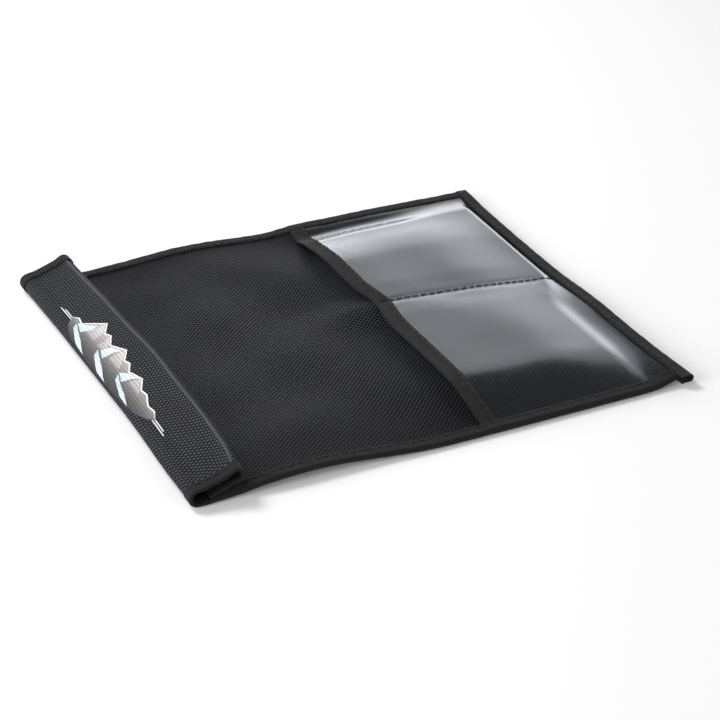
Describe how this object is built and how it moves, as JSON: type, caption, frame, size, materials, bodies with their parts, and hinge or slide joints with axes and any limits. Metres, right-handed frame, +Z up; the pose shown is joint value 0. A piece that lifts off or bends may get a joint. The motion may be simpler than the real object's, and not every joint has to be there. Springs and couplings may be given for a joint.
{
  "type": "climbing skin storage pouch",
  "caption": "Flat woven nylon storage pouch for climbing skins, with taped edges, two clear pockets and a flap folded over twice.",
  "frame": {"origin": "on the ground under the middle of the closed pouch", "axes": "+X from the rolled flap to the sewn end, +Z up from the ground through the clear pockets"},
  "size_m": [0.302, 0.269, 0.018],
  "materials": {
    "nylon_fabric": "coarse plain weave, slightly shiny yarns",
    "edging_tape": "fine ribbed tape, matt",
    "clear_vinyl": "clear, glossy, soft",
    "thread": "twisted polyester",
    "hook_loop": "matt",
    "print_ink": "screen print"
  },
  "bodies": {
    "pouch": {"back_panel": "nylon_fabric", "front_panel": "nylon_fabric", "loop_strip": "hook_loop", "clear_window": "clear_vinyl", "window_mouth_binding": "edging_tape", "side_binding_far": "edging_tape", "side_binding_near": "edging_tape", "end_binding": "edging_tape", "side_stitching_far": "thread", "side_stitching_near": "thread", "end_stitching": "thread", "loop_stitching": "thread", "divider_stitching": "thread", "window_mouth_stitching": "thread"},
    "spine": {"spine_panel": "nylon_fabric", "spine_binding_far": "edging_tape", "spine_binding_near": "edging_tape"},
    "flap": {"flap_panel": "nylon_fabric", "flap_binding_far": "edging_tape", "flap_binding_near": "edging_tape", "flap_print": "print_ink", "flap_stitching_far": "thread", "flap_stitching_near": "thread"},
    "tip": {"tip_panel": "nylon_fabric", "tip_binding_far": "edging_tape", "tip_binding_near": "edging_tape", "tip_end_binding": "edging_tape", "hook_strip": "hook_loop"}
  },
  "joints": [
    {"name": "spine_fold", "type": "hinge", "parent": "pouch", "child": "spine", "pos_m": [-0.1491, 0, 0.0019], "axis": [0, -1, 0], "range_deg": [0, 90]},
    {"name": "flap_fold", "type": "hinge", "parent": "spine", "child": "flap", "pos_m": [-0.14946, 0, 0.00777], "axis": [0, -1, 0], "range_deg": [0, 70]},
    {"name": "tip_fold", "type": "hinge", "parent": "flap", "child": "tip", "pos_m": [-0.12028, 0, 0.01555], "axis": [0, -1, 0], "range_deg": [0, 180], "deforming": ["tip_panel", "tip_binding_far", "tip_binding_near", "tip_end_binding", "hook_strip"]}
  ],
  "couplings": [
    {"joint": "flap_fold", "follows": "spine_fold", "ratio": 0.77778},
    {"joint": "tip_fold", "follows": "spine_fold", "ratio": 2}
  ]
}
